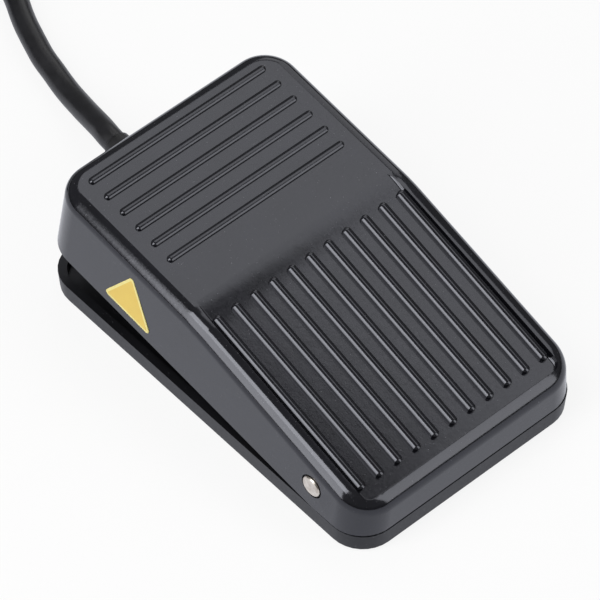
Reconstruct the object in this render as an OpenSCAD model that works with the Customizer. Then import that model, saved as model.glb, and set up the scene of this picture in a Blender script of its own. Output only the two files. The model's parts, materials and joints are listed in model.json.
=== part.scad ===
// Pedal foot switch: a ribbed rocking cover on a shallow base tray, with a
// snap-action switch, return spring and cable clamp under it.
// X across, Y from the low hinge end (-) to the cable end (+), Z up,
// origin on the floor under the middle of the base. Millimetres.
// The cover is drawn pressed flat ("closed") and then lifted to its rest angle.

/* [Base tray] */
// Length of the base, front to back
base_len = 100; // [90:1:124]
// Width of the base at the floor
base_w = 62; // [52:1:76]
// Height of the tray wall above its underside
tray_h = 4.5; // [4:0.1:7]
// Thickness of the tray wall
tray_wall = 2; // [1.6:0.1:3]
// Thickness of the tray floor
floor_t = 2.2; // [1.8:0.1:3]
// Outward lean of the tray wall, per side
tray_flare = 0.25; // [0:0.05:0.8]
// Plan radius of the corners
corner_r = 8; // [6:0.5:11]

/* [Rubber feet] */
// Diameter of a foot
foot_d = 10; // [8:0.5:14]
// Thickness of a foot
foot_t = 1.5; // [1.2:0.1:2]
// How far a foot stands below the tray
foot_proud = 0.6; // [0.3:0.1:1]
// Distance of a foot's centre from the tray's sides
foot_inset = 10.5; // [9:0.5:14]

/* [Pedal cover] */
// Height of the rear deck above the floor, pedal pressed flat
deck_h = 24.7; // [24.2:0.1:32]
// Length of the level rear deck, from the back to the bend
deck_len = 46; // [40:1:60]
// Height of the rim over the hinge, pedal pressed flat
rim_h = 18.32; // [18.3:0.02:20]
// Depth of the tread below the rim where it starts
tread_sink = 0.95; // [0.5:0.05:1.4]
// How much steeper than the rim the tread falls, degrees
tread_dip = 0.5; // [0:0.1:0.8]
// Radius of the rolled top edge
edge_r = 3; // [2:0.1:4]
// Thickness of the side walls
side_wall = 2; // [1.6:0.1:2.6]
// Thickness of the top
top_wall = 1.8; // [1.5:0.1:2.4]
// Inward lean of the side walls from seam to edge
side_draft = 0.7; // [0.3:0.05:1.2]
// Seam between the cover and the tray
seam_gap = 0.1; // [0.05:0.05:0.4]

/* [Ribs on the cover] */
// Number of lengthwise ribs
long_ribs = 11; // [7:2:13]
// Spacing of the lengthwise ribs
long_pitch = 5.06; // [4:0.02:6]
// Diameter of a lengthwise rib
long_rib_d = 2; // [1.2:0.1:2.6]
// Number of crosswise ribs
cross_ribs = 6; // [3:1:6]
// Spacing of the crosswise ribs
cross_pitch = 5; // [4:0.1:6]
// Diameter of a crosswise rib
cross_rib_d = 1.7; // [1.2:0.1:2.4]
// Length of a crosswise rib between its end centres
cross_rib_len = 46.8; // [30:0.2:50]

/* [Hinge] */
// Diameter of the hinge pin
pin_d = 5; // [4:0.1:5.4]
// Hinge axis, from the front of the base
pin_in = 15; // [13:0.5:20]
// Hinge axis above the floor
pin_h = 11.2; // [10.8:0.1:12.5]
// Radial running clearance of the cover on its pin
pin_play = 0.05; // [0.02:0.01:0.1]
// Angle that the pressed pedal is lifted by at rest, degrees
lift = 6.6; // [5:0.1:7]
// Pedal travel, degrees
travel = 6.4; // [4:0.1:6.8]
// Thickness of a hinge ear
ear_t = 2.6; // [2:0.1:4]

/* [Return spring] */
// Outside diameter of the spring
spring_d = 9.6; // [7:0.1:12]
// Diameter of the spring wire
wire_d = 1; // [0.6:0.1:1.4]
// Number of turns
spring_turns = 8; // [5:1:12]
// Spring centre, behind the hinge axis
spring_back = 31; // [24:1:34]

/* [Snap switch] */
// Length of the switch case
sw_l = 27.8; // [24:0.1:32]
// Thickness of the switch case
sw_t = 10.3; // [9:0.1:12]
// Height of the switch case
sw_h = 15.9; // [13:0.1:16]
// Switch centre, behind the hinge axis
sw_back = 49; // [44:1:54]
// Wall of the switch case
sw_wall = 1.2; // [1:0.1:1.6]
// Diameter of the two screws through the switch
sw_screw_d = 3; // [2.5:0.1:3.2]
// Thickness of the switch bracket
bracket_t = 1.2; // [0.8:0.1:1.6]
// Thickness of the switch lever
lever_t = 0.5; // [0.3:0.05:0.6]

/* [Cable] */
// Diameter of the cable jacket
cable_d = 5.5; // [5:0.1:6]
// Height of the cable's axis where it enters
cable_h = 7.2; // [7:0.1:7.6]
// Diameter of one insulated core
core_d = 1.9; // [1.6:0.1:2]
// Largest diameter of the strain relief
relief_d = 8.6; // [8:0.1:8.8]
// Diameter of the strain relief at its tip
relief_tip_d = 6.3; // [6.2:0.1:7.4]
// Length of the strain relief's tail
relief_tail = 17.4; // [14:0.1:20]
// Diameter across the coil at the middle of its turns
coil_mid_d = 64; // [55:1:66]

/* [Base screw holes] */
// Diameter of the two holes that fasten the base down
mount_hole_d = 4.5; // [3.5:0.1:5.5]
// Distance between them
mount_gap = 42; // [34:1:44]

/* [Hidden] */
$fn = 48;
round_fn = 32;   // facets of what a hull blends
eps = 0.01;
seat = 0.02;     // gap of pieces that sit face to face
snug = 0.05;     // gap of pieces that slip together

// ---- places that follow from the sizes above ----
base_z = foot_proud;
rim_z = base_z + tray_h;
floor_z = base_z + floor_t;
seam_z = rim_z + seam_gap;
rear_y = base_len / 2;
front_y = -base_len / 2;
pin_y = front_y + pin_in;

cover_half = base_w / 2 + 0.1;
cover_rear = rear_y - 0.2;
cover_front = front_y - 0.6;      // leans back to the tray's front when lifted
bend_y = rear_y - deck_len - 0.5;
top_r = corner_r - 0.4;
top_half = cover_half - side_draft;
ramp_top = bend_y + 3.5;          // the tread starts to sink here
ramp_foot = bend_y - 2.5;
inner_r = corner_r - side_wall;
inner_edge_r = 1.5;
rib_pitch = min(long_pitch, 2 * (top_half - edge_r - 2) / (long_ribs - 1));
tread_half = rib_pitch * (long_ribs - 1) / 2 + 0.9;
tread_front = cover_front + edge_r + 0.4;
cove = 1.75;                      // run of the tread's side cove per unit of rise

rim_fall = atan((deck_h - rim_h) / (bend_y - pin_y));
tread_fall = rim_fall + tread_dip;
function rim_at(y) = deck_h - max(0, bend_y - y) * tan(rim_fall);
function tread_at(y) = deck_h - tread_sink - (bend_y - y) * tan(tread_fall);
// underside of the top: straight from the top of the ramp to the front
ceil_front_y = cover_front + side_wall;
ceil_front_z = tread_at(ceil_front_y) - top_wall;
ceil_fall = atan((deck_h - top_wall - ceil_front_z) / (ramp_top - ceil_front_y));
function ceil_at(y) = deck_h - top_wall - max(0, ramp_top - y) * tan(ceil_fall);

// height of a closed place when the pedal is at rest
function up_z(y, z) = pin_h + (y - pin_y) * sin(lift) + (z - pin_h) * cos(lift);

spring_y = pin_y + spring_back;
sw_y = max(pin_y + sw_back, ramp_top + 7);
sw_z = floor_z + snug;
sw_top = sw_z + sw_h;
sw_front = sw_y - sw_t / 2;
sw_rear = sw_y + sw_t / 2;
hole_x = 11.1;                    // the switch's two screws
hole_low = sw_z + 2.8;
hole_high = sw_z + 13.1;

lever_hinge_x = -11.6;
lever_hinge_z = sw_top + 1.5;
lever_w = 5;
lever_tip_x = 14;
barrel_r = 1.1;
lever_pin_d = 1.2;
push_x = 8;                       // where the cover presses the lever
push_y = sw_y + 0.7;
push_r = 1.5;
push_play = 0.15;
push_arm = push_x - lever_hinge_x;
lever_pressed = 0.6;              // lever angle with the pedal pressed
push_closed_z = lever_hinge_z + push_arm * tan(lever_pressed)
    + (lever_t / 2 + push_r + push_play) / cos(lever_pressed)
    - (push_y - pin_y) * sin(lift - travel);
lever_rest = 15.75;               // lever angle at rest
plunger_x = -6.5;
plunger_arm = plunger_x - lever_hinge_x;
plunger_d = 3.2;
plunger_play = 0.15;
plunger_top = lever_hinge_z + plunger_arm * tan(lever_rest)
    - lever_t / 2 / cos(lever_rest) - plunger_play;

gland_rear = rear_y - 3;
gland_t = 4;
gland_front = gland_rear - gland_t;
gland_half = 7.5;
neck_d = 7;
relief_flange = 1.5;
relief_turn = 4.3;                // the cable pulls the tail this far to the side
cable_start = rear_y - 19;        // the jacket is stripped from here inwards
clamp_y = rear_y - 13.5;
clamp_w = 6;
clamp_screw_x = 7.5;

foot_x = base_w / 2 - foot_inset;
foot_y = base_len / 2 - foot_inset;
mount_y = pin_y + 29;
bracket_foot_half = 7.4;
bracket_len = 10;
bracket_screw_x = 4.3;
bracket_screw_y = sw_rear + bracket_t + 4.6;
ring_t = 0.8;
groove_depth = 0.4;
ring_bore = pin_d - 2 * groove_depth + 2 * seat;
ear_out = base_w / 2 - 4.4;       // outer face of a hinge ear
ear_in = ear_out - ear_t;
ear_r = 3.7;
pin_half = cover_half - 0.35;

// ---- the cable outside, where it lies, measured from the rear of the base ----
cable_route = [
    [1.45, 16.4, 7.2], [1.8, 18.2, 6.95], [2.4, 20.5, 6.3], [3.1, 23.9, 5.4],
    [3.8, 27.3, 4.5], [4.5, 30.7, 3.75], [5.1, 33.8, 3.2], [5.7, 36.8, 2.9],
    [6.3, 39.6, 2.8], [6.9, 42.2, 2.75], [7.4, 44.8, 2.75], [8, 47.4, 2.75],
    [8.8, 49.9, 2.75], [9.9, 53.2, 2.75], [11.1, 56.6, 2.75], [12.4, 59.7, 2.75],
    [14.4, 64, 2.75], [17, 70.5, 2.75], [19.6, 78, 2.75], [21.8, 86.5, 2.75],
    [23.3, 95, 2.75], [24.1, 104, 2.75], [24.25, 111, 2.75]];
coil_at = [-16, rear_y + 116];
coil_rows = 4;
coil_layers = 2;
coil_out = coil_mid_d / 2 + coil_rows * cable_d / 2;
coil_in = coil_mid_d / 2 - coil_rows * cable_d / 2;
tail_r = coil_out + cable_d / 2 + 0.6;
tail_jacket_end = 78;             // degrees round the coil
tail_strip_end = 116;
tail_tin_end = 124;

// ---- sweeps ----
function unit(v) = v / norm(v);
function run_dir(p, i) =
    unit(p[min(i + 1, len(p) - 1)] - p[max(i - 1, 0)]);
module tube(p, d, sides) {
    n = len(p);
    points = [for (i = [0 : n - 1])
        let (t = run_dir(p, i), s = unit(cross(t, [0, 0, 1])), u = cross(s, t))
            for (k = [0 : sides - 1])
                p[i] + d / 2 * (cos(360 * k / sides) * s + sin(360 * k / sides) * u)];
    walls = [for (i = [0 : n - 2], k = [0 : sides - 1])
        let (a = i * sides + k, b = i * sides + (k + 1) % sides)
            each [[a, b, b + sides], [a, b + sides, a + sides]]];
    ends = [[for (k = [sides - 1 : -1 : 0]) k], [for (k = [0 : sides - 1]) (n - 1) * sides + k]];
    polyhedron(points, concat(walls, ends));
}
function round_coil(r, a, z) = [coil_at[0] + r * cos(a), coil_at[1] + r * sin(a), z];
// from 0 to 1 between two places, with a soft start and end
function share(a, start, end) = max(0, min(1, (a - start) / (end - start)));
function eased(a, start, end) = let (f = share(a, start, end)) f * f * (3 - 2 * f);
function swung(a, start, end) = (1 - cos(180 * share(a, start, end))) / 2;

// ---- small shared shapes ----
module along_x(x0, x1, d, fn = 48) {
    translate([x0, 0, 0]) rotate([0, 90, 0]) cylinder(d = d, h = x1 - x0, $fn = fn);
}
module along_y(y0, y1, d, fn = 48) {
    translate([0, y0, 0]) rotate([-90, 0, 0]) cylinder(d = d, h = y1 - y0, $fn = fn);
}
module lifted() {
    translate([0, pin_y, pin_h]) rotate([lift, 0, 0]) translate([0, -pin_y, -pin_h]) children();
}
module at_pin() {
    translate([0, pin_y, pin_h]) children();
}
// a bar with round ends, lying along Y, from end centre to end centre
module round_bar(length, d) {
    steps = 5;
    r = d / 2;
    profile = concat(
        [[0, -r]],
        [for (i = [1 : steps]) [r * sin(90 * i / steps), -r * cos(90 * i / steps)]],
        [for (i = [0 : steps - 1]) [r * cos(90 * i / steps), length + r * sin(90 * i / steps)]],
        [[0, length + r]]);
    rotate([-90, 0, 0]) rotate_extrude($fn = 24) polygon(profile);
}
// a thin disc at each corner of a rectangle
module corner_discs(half, y0, y1, r, z, h) {
    for (x = [-half + r, half - r], y = [y0 + r, y1 - r])
        translate([x, y, z]) cylinder(r = r, h = h, $fn = round_fn);
}
// a ring with a round edge, tilted with the rim
module edge_ring(x, y, z, fall, r, edge) {
    translate([x, y, z]) rotate([fall, 0, 0])
        rotate_extrude($fn = round_fn) translate([r - edge, 0]) circle(edge, $fn = round_fn);
}
module head_screw(d, length, head_d, head_h) {
    cylinder(d = d, h = length);
    translate([0, 0, length - eps]) difference() {
        cylinder(d = head_d, h = head_h);
        for (a = [0, 90]) rotate([0, 0, a])
            translate([-head_d * 0.35, -0.35, head_h / 2]) cube([head_d * 0.7, 0.7, head_h]);
    }
}

// ---- base ----
module base_tray() {
    color("#2e2f33") difference() {
        union() {
            difference() {
                hull() {
                    corner_discs(base_w / 2, front_y, rear_y, corner_r, base_z, eps);
                    corner_discs(base_w / 2 + tray_flare, front_y - tray_flare,
                        rear_y + tray_flare, corner_r, rim_z - eps, eps);
                }
                hull() {
                    corner_discs(base_w / 2 - tray_wall, front_y + tray_wall,
                        rear_y - tray_wall, inner_r, floor_z, eps);
                    corner_discs(base_w / 2 - tray_wall + tray_flare,
                        front_y + tray_wall - tray_flare, rear_y - tray_wall + tray_flare,
                        inner_r, rim_z + eps, eps);
                }
            }
            for (side = [-1, 1]) hinge_ear(side);
            spring_cup();
            cable_gland();
            for (x = [-clamp_screw_x, clamp_screw_x])
                translate([x, clamp_y, floor_z - eps])
                    cylinder(d = 6.4, h = cable_h - 0.6 - floor_z);
            clamp_saddle();
            for (x = [-mount_gap / 2, mount_gap / 2])
                translate([x, mount_y, floor_z - eps]) cylinder(d = mount_hole_d + 5, h = 1.2);
            floor_ribs();
        }
        at_pin() along_x(-base_w / 2 + 1, base_w / 2 - 1, pin_d + 2 * seat);
        for (x = [-foot_x, foot_x], y = [-foot_y, foot_y])
            translate([x, y, base_z - eps])
                cylinder(d = foot_d + 0.3, h = foot_t - foot_proud + seat + eps);
        for (x = [-mount_gap / 2, mount_gap / 2])
            translate([x, mount_y, 0]) cylinder(d = mount_hole_d, h = 8);
        for (x = [-bracket_screw_x, bracket_screw_x])
            translate([x, bracket_screw_y, 0]) {
                cylinder(d = 3.2, h = 5);
                translate([0, 0, base_z - eps]) cylinder(d1 = 6.2, d2 = 3.2, h = 1.5);
            }
        translate([0, 0, cable_h]) {
            along_y(gland_front - 1, gland_rear + 1, neck_d + 2 * snug);
            along_y(gland_rear, rear_y + 2, relief_d + 1);
            along_y(clamp_y - clamp_w, gland_front, cable_d + 2 * snug);
        }
        for (x = [-clamp_screw_x, clamp_screw_x])
            translate([x, clamp_y, base_z + 1]) cylinder(d = 2.5, h = 10);
    }
}
module hinge_ear(side) {
    foot_half = 6;
    translate([side > 0 ? ear_in : -ear_out, pin_y, 0]) rotate([90, 0, 90])
        linear_extrude(ear_out - ear_in) {
            translate([0, pin_h]) circle(ear_r);
            polygon([[-foot_half, floor_z - eps], [foot_half, floor_z - eps],
                [ear_r - 0.2, pin_h + 0.8], [-ear_r + 0.2, pin_h + 0.8]]);
        }
}
module spring_cup() {
    translate([0, spring_y, floor_z - eps]) difference() {
        cylinder(d = spring_d + 4, h = 2.6);
        translate([0, 0, -eps]) cylinder(d = spring_d + 0.6, h = 3);
    }
}
module cable_gland() {
    // an upright block that the strain relief's neck sits in
    translate([0, gland_rear, 0]) rotate([90, 0, 0]) linear_extrude(gland_t) {
        translate([-gland_half, floor_z - eps]) square([2 * gland_half, cable_h - floor_z + eps]);
        intersection() {
            translate([0, cable_h]) circle(gland_half - 1.6);
            translate([-gland_half, cable_h - 1]) square([2 * gland_half, gland_half]);
        }
    }
}
module clamp_saddle() {
    translate([-cable_d / 2 - 1, clamp_y - clamp_w / 2, floor_z - eps])
        cube([cable_d + 2, clamp_w, cable_h - 1.4 - floor_z]);
}
module floor_ribs() {
    // low stiffeners along both sides and across the front
    rib_t = 1.2;
    rib_h = 1.4;
    for (x = [-base_w / 2 + 8, base_w / 2 - 8 - rib_t])
        translate([x, front_y + tray_wall + 16, floor_z - eps])
            cube([rib_t, base_len - 2 * tray_wall - 32, rib_h]);
    translate([-base_w / 2 + 12, pin_y - 8.5, floor_z - eps])
        cube([base_w - 24, rib_t, rib_h]);
}
module rubber_feet() {
    color("#1b1b1d") for (x = [-foot_x, foot_x], y = [-foot_y, foot_y])
        translate([x, y, 0]) {
            cylinder(d1 = foot_d - 0.8, d2 = foot_d, h = 0.4);
            translate([0, 0, 0.4 - eps]) cylinder(d = foot_d, h = foot_t - 0.4 + eps);
        }
}

// ---- pedal cover ----
module cover_outer() {
    rear_ring_y = cover_rear - side_draft - top_r;
    front_ring_y = cover_front + side_draft + top_r;
    hull() {
        corner_discs(cover_half, cover_front, cover_rear, corner_r, seam_z, 0.5);
        for (x = [-top_half + top_r, top_half - top_r]) {
            edge_ring(x, rear_ring_y, deck_h - edge_r, 0, top_r, edge_r);
            edge_ring(x, front_ring_y, rim_at(front_ring_y) - edge_r / cos(rim_fall),
                rim_fall, top_r, edge_r);
        }
        for (x = [-top_half + edge_r, top_half - edge_r])
            translate([x, bend_y, deck_h - edge_r]) sphere(edge_r, $fn = round_fn);
    }
}
module cover_inner() {
    half = cover_half - side_wall;
    half_up = top_half - side_wall;
    r_up = top_r - side_wall;
    rear_ring_y = cover_rear - side_draft - side_wall - r_up;
    front_ring_y = cover_front + side_draft + side_wall + r_up;
    hull() {
        corner_discs(half, cover_front + side_wall, cover_rear - side_wall, inner_r,
            seam_z - 1, 0.5);
        for (x = [-half_up + r_up, half_up - r_up]) {
            edge_ring(x, rear_ring_y, deck_h - top_wall - inner_edge_r, 0, r_up, inner_edge_r);
            edge_ring(x, front_ring_y, ceil_at(front_ring_y) - inner_edge_r / cos(ceil_fall),
                ceil_fall, r_up, inner_edge_r);
        }
        for (x = [-half_up + inner_edge_r, half_up - inner_edge_r])
            translate([x, ramp_top, deck_h - top_wall - inner_edge_r])
                sphere(inner_edge_r, $fn = round_fn);
    }
}
module tread_cut() {
    // a shallow pan with coved sides, a ramp behind and a steep step in front
    rise = 2.4;
    r = 2;
    intersection() {
        hull() for (side = [-1, 1]) {
            for (y = [tread_front - r, ramp_foot])
                translate([side * (tread_half - r), y, tread_at(y)])
                    cylinder(r1 = r, r2 = r + cove * rise, h = rise, $fn = round_fn);
            translate([side * (tread_half + cove * tread_sink), ramp_top, deck_h])
                cube([eps, eps, rise]);
        }
        translate([-base_w, tread_front, 0]) cube([2 * base_w, base_len, 2 * deck_h]);
    }
}
module long_rib_row() {
    y_end = tread_front + 4.1;
    run = (ramp_foot + 0.8 - y_end) / cos(tread_fall);
    for (i = [0 : long_ribs - 1])
        translate([(i - (long_ribs - 1) / 2) * rib_pitch, y_end, tread_at(y_end)])
            rotate([tread_fall, 0, 0]) round_bar(run, long_rib_d);
}
module cross_rib_row() {
    half = min(cross_rib_len / 2, top_half - edge_r - cross_rib_d - 1);
    for (i = [0 : cross_ribs - 1])
        translate([half, cover_rear - 5.95 - i * cross_pitch, deck_h - 0.2])
            rotate([0, 0, 90]) round_bar(2 * half, cross_rib_d);
}
// what stays standing inside the cover
module cover_bosses() {
    boss_len = cover_half - ear_out + 0.7;
    for (side = [-1, 1])
        translate([side * (ear_out + 0.3 + boss_len / 2), pin_y, pin_h])
            along_x(-boss_len / 2, boss_len / 2, pin_d + 2.8);
    // pusher over the switch lever
    translate([push_x, push_y, push_closed_z]) {
        rotate([90, 0, 0]) cylinder(r = push_r, h = 3, center = true);
        translate([-push_r, -1.5, 0]) cube([2 * push_r, 3, 12]);
    }
    // spring seat and its locating stub, square to the spring at rest
    translate([0, pin_y, pin_h]) rotate([-lift, 0, 0]) translate([0, -pin_y, -pin_h])
        translate([0, spring_y, spring_top]) {
            cylinder(d = spring_d + 2.4, h = 14);
            translate([0, 0, -2]) cylinder(d = spring_d - 2 * wire_d - 0.8, h = 3);
        }
    // stiffeners under the top
    stiff = 2.6;
    for (x = [-cover_half + 10, cover_half - 11.4])
        translate([x, 0, 0]) rotate([90, 0, 90]) linear_extrude(1.4)
            polygon([[pin_y + 7, ceil_at(pin_y + 7) - stiff], [ramp_top, ceil_at(ramp_top) - stiff],
                [cover_rear - 1, deck_h - top_wall - stiff], [cover_rear - 1, deck_h],
                [ramp_top, deck_h], [pin_y + 7, ceil_at(pin_y + 7) + top_wall / 2]]);
    for (y = [pin_y + 19, sw_y + 17])
        translate([-cover_half, y, ceil_at(y) - stiff + 0.4]) cube([2 * cover_half, 1.4, stiff]);
}
spring_top = up_z(spring_y, ceil_at(spring_y)) - 2.2;
module pedal_cover() {
    color("#303136") difference() {
        lifted() difference() {
            union() {
                difference() {
                    cover_outer();
                    difference() {
                        cover_inner();
                        cover_bosses();
                    }
                    tread_cut();
                }
                long_rib_row();
                cross_rib_row();
            }
            relief_arch();
        }
        translate([-base_w, front_y - 5, -1]) cube([2 * base_w, base_len + 10, seam_z + 1]);
        at_pin() along_x(-base_w, base_w, pin_d + 2 * pin_play);
        // the hole opens out at the outside of each wall
        for (side = [-1, 1])
            translate([side * (cover_half + 1.1), pin_y, pin_h]) along_x(-2, 2, pin_d + 0.7);
    }
}
// the way for the strain relief through the rear wall
module relief_arch() {
    w = relief_d + 1.6;
    y0 = cover_rear - side_wall - 2;
    translate([0, 0, cable_h]) along_y(y0, cover_rear + 2, w);
    translate([-w / 2, y0, 0]) cube([w, side_wall + 4, cable_h]);
}
module side_sticker() {
    // plain three-cornered sticker on the left wall
    side = 14.8;
    corner = 0.8;
    lean = atan(side_draft / (deck_h - edge_r - seam_z));
    color("#e8c24a") lifted()
        translate([-cover_half - seat, rear_y - 27.7, seam_z]) rotate([0, lean, 0])
            translate([-0.15, 0, 2.6]) rotate([90, 0, 90]) linear_extrude(0.15)
                polygon([for (k = [0 : 2], a = [-60 : 30 : 60])
                    let (t = 90 + 120 * k)
                        (side / sqrt(3) - 2 * corner) * [cos(t), sin(t)]
                        + corner * [cos(t + a), sin(t + a)]
                        + [0, side / sqrt(3) / 2]]);
}

// ---- hinge ----
module hinge_pin() {
    r = pin_d / 2;
    // a groove for a snap ring, its two edges given along the pin
    function groove(y0, y1) = [[r, y0], [r - groove_depth, y0],
        [r - groove_depth, y1], [r, y1]];
    near = ear_in - 0.3;
    far = near - ring_t - 0.1;
    color("#c9c7c2") at_pin() rotate([0, 90, 0]) rotate_extrude() polygon(concat(
        [[0, -pin_half], [r - 0.3, -pin_half], [r, -pin_half + 0.3]],
        groove(-near, -far), groove(far, near),
        [[r, pin_half - 0.3], [r - 0.3, pin_half], [0, pin_half]]));
}
module pin_rings() {
    // snap rings in the pin's grooves, against the inner faces of the ears
    color("#8d8f92") for (side = [-1, 1])
        translate([side * (ear_in - 0.35 - ring_t / 2), pin_y, pin_h]) rotate([0, 90, 0])
            difference() {
                cylinder(d = pin_d + 2.4, h = ring_t, center = true);
                cylinder(d = ring_bore, h = 2, center = true);
                translate([0, -ring_bore / 2, -1]) cube([pin_d + 2, ring_bore, 2]);
            }
}

// ---- spring ----
module return_spring() {
    z0 = floor_z + seat + wire_d / 2;
    z1 = spring_top - seat - wire_d / 2;
    steps = 12;
    n = spring_turns * steps;
    // the first and the last turn lie flat
    function spring_z(t) = t < 1 ? z0 + wire_d * t * 0.9 : t > spring_turns - 1 ?
        z1 - wire_d * 0.9 * (spring_turns - t) :
        z0 + wire_d * 0.9 + (z1 - z0 - 1.8 * wire_d) * (t - 1) / (spring_turns - 2);
    color("#a9abae") tube([for (i = [0 : n])
        [(spring_d - wire_d) / 2 * cos(360 * i / steps),
            spring_y + (spring_d - wire_d) / 2 * sin(360 * i / steps),
            spring_z(i / steps)]], wire_d, 6);
}

// ---- switch and its bracket ----
module switch_bracket() {
    high = hole_high + 3.2;
    color("#b4b6b8") difference() {
        union() {
            translate([-sw_l / 2 - 0.3, sw_rear + snug, floor_z + seat + 2])
                cube([sw_l + 0.6, bracket_t, high - floor_z - 2]);
            translate([-bracket_foot_half, sw_rear + snug, floor_z + seat])
                cube([2 * bracket_foot_half, bracket_t, 3]);
            translate([-bracket_foot_half, sw_rear + snug, floor_z + seat])
                cube([2 * bracket_foot_half, bracket_len, bracket_t]);
        }
        translate([-hole_x, 0, hole_low]) along_y(sw_rear - 1, sw_rear + 3, sw_screw_d + 0.2);
        translate([hole_x, 0, hole_high]) along_y(sw_rear - 1, sw_rear + 3, sw_screw_d + 0.2);
        for (x = [-bracket_screw_x, bracket_screw_x])
            translate([x, bracket_screw_y, floor_z - 1]) cylinder(d = 3 + 2 * seat, h = 4);
    }
}
module bracket_screws() {
    color("#9fa1a3") for (x = [-bracket_screw_x, bracket_screw_x])
        translate([x, bracket_screw_y, base_z + 0.1]) difference() {
            union() {
                cylinder(d1 = 5.7, d2 = 3, h = 1.35);
                cylinder(d = 3, h = floor_t + bracket_t + 0.6);
            }
            for (a = [0, 90]) rotate([0, 0, a]) translate([-1.4, -0.3, -eps]) cube([2.8, 0.6, 0.8]);
        }
}
module switch_case() {
    // open to the front; the lid closes it
    cavity_l = sw_l - 2 * sw_wall;
    color("#3a3b40") difference() {
        union() {
            difference() {
                translate([-sw_l / 2, sw_front + sw_wall + seat, sw_z])
                    cube([sw_l, sw_t - sw_wall - seat, sw_h]);
                difference() {
                    translate([-cavity_l / 2, sw_front - 1, sw_z + sw_wall])
                        cube([cavity_l, sw_t - sw_wall + 1, sw_h - 2 * sw_wall]);
                    for (p = [[-hole_x, hole_low], [hole_x, hole_high]])
                        translate([p[0], 0, p[1]])
                            along_y(sw_front + sw_wall + seat, sw_rear, sw_screw_d + 2.4);
                    translate([arm_x - 1.6, sw_front + sw_wall + seat, sw_z])
                        cube([3.2, sw_t, common_z - seat - sw_z]);
                }
            }
            // ears that carry the lever pin
            for (y = [sw_y - lever_w / 2 - 1.3, sw_y + lever_w / 2 + 0.3])
                translate([lever_hinge_x - 1.4, y, sw_top - eps]) {
                    cube([2.8, 1, lever_hinge_z - sw_top]);
                    translate([1.4, 0, lever_hinge_z - sw_top]) along_y(0, 1, 2.8);
                }
        }
        for (p = [[-hole_x, hole_low], [hole_x, hole_high]])
            translate([p[0], 0, p[1]]) along_y(sw_front - 1, sw_rear + 1, sw_screw_d + 0.1);
        translate([plunger_x, sw_y, sw_top - 3]) cylinder(d = plunger_d + 0.1, h = 5);
        translate([lever_hinge_x, 0, lever_hinge_z])
            along_y(sw_y - 5, sw_y + 5, lever_pin_d + 2 * seat);
        translate([-sw_l / 2 - 1, sw_y - tab_w / 2 - snug, common_z - snug])
            cube([4, tab_w + 2 * snug, tab_t + 2 * snug]);
        for (z = [closed_z, open_z])
            translate([sw_l / 2 - 3, sw_y - tab_w / 2 - snug, z - snug])
                cube([4, tab_w + 2 * snug, tab_t + 2 * snug]);
    }
}
module switch_lid() {
    color("#45464b") difference() {
        translate([-sw_l / 2, sw_front, sw_z]) cube([sw_l, sw_wall, sw_h]);
        for (p = [[-hole_x, hole_low], [hole_x, hole_high]])
            translate([p[0], 0, p[1]]) along_y(sw_front - 1, sw_rear + 1, sw_screw_d + 0.1);
    }
}
tab_w = 4.75;
tab_t = 0.8;
tab_out = 6.2;
closed_z = sw_z + 9.2;
open_z = sw_z + 4.2;
contact_h = 0.7;                  // a fixed contact's height off its plate
contact_x = 7.2;
contact_d = 3;
arm_x = -1.5;
arm_t = 0.4;
arm_contact_h = 1.8;
arm_pin_r = 0.5;
arm_reach = contact_x - arm_x;
arm_z = (closed_z - contact_h + open_z + tab_t + contact_h) / 2;
arm_swing = asin((closed_z - contact_h - arm_z - arm_contact_h / 2 - 0.13) / arm_reach);
common_z = arm_z - arm_pin_r - tab_t - snug;
stem_low = sw_top - sw_wall - 3.4; // lower end of the plunger
screw_len = sw_t + bracket_t + 3.2;
module switch_screws() {
    color("#a7a9ab") for (p = [[-hole_x, hole_low], [hole_x, hole_high]])
        translate([p[0], sw_front - seat + screw_len, p[1]]) rotate([90, 0, 0])
            head_screw(sw_screw_d, screw_len, 5.5, 1.8);
}
module switch_nuts() {
    color("#b9b9b4") for (p = [[-hole_x, hole_low], [hole_x, hole_high]])
        translate([p[0], sw_rear + snug + bracket_t + seat, p[1]]) rotate([-90, 0, 0])
            difference() {
                cylinder(d = 6, h = 2.3, $fn = 6);
                translate([0, 0, -1]) cylinder(d = sw_screw_d + 2 * seat, h = 5);
            }
}
module switch_plunger() {
    // a stem with a collar inside the case and a domed top
    r = plunger_d / 2;
    collar_r = r + 0.7;
    color("#b5452f") translate([plunger_x, sw_y, 0])
        rotate_extrude() polygon([[0, stem_low], [collar_r, stem_low],
            [collar_r, stem_low + 1.2], [r, stem_low + 1.2], [r, plunger_top - 0.9],
            [r - 0.25, plunger_top - 0.5], [r - 0.7, plunger_top - 0.22],
            [r - 1.15, plunger_top - 0.05], [0, plunger_top]]);
}
module switch_lever() {
    color("#c4c6c8") translate([lever_hinge_x, sw_y, lever_hinge_z]) rotate([0, -lever_rest, 0])
        difference() {
            union() {
                along_y(-lever_w / 2, lever_w / 2, 2 * barrel_r);
                translate([0, -lever_w / 2, -lever_t / 2])
                    cube([lever_tip_x - lever_hinge_x, lever_w, lever_t]);
            }
            along_y(-lever_w, lever_w, lever_pin_d + 2 * snug);
        }
}
module lever_pin() {
    color("#d0d0cc") translate([lever_hinge_x, 0, lever_hinge_z])
        along_y(sw_y - lever_w / 2 - 1.3, sw_y + lever_w / 2 + 1.3, lever_pin_d);
}
module tab_plate(x0, x1, z) {
    translate([x0, sw_y - tab_w / 2, z]) cube([x1 - x0, tab_w, tab_t]);
}
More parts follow.
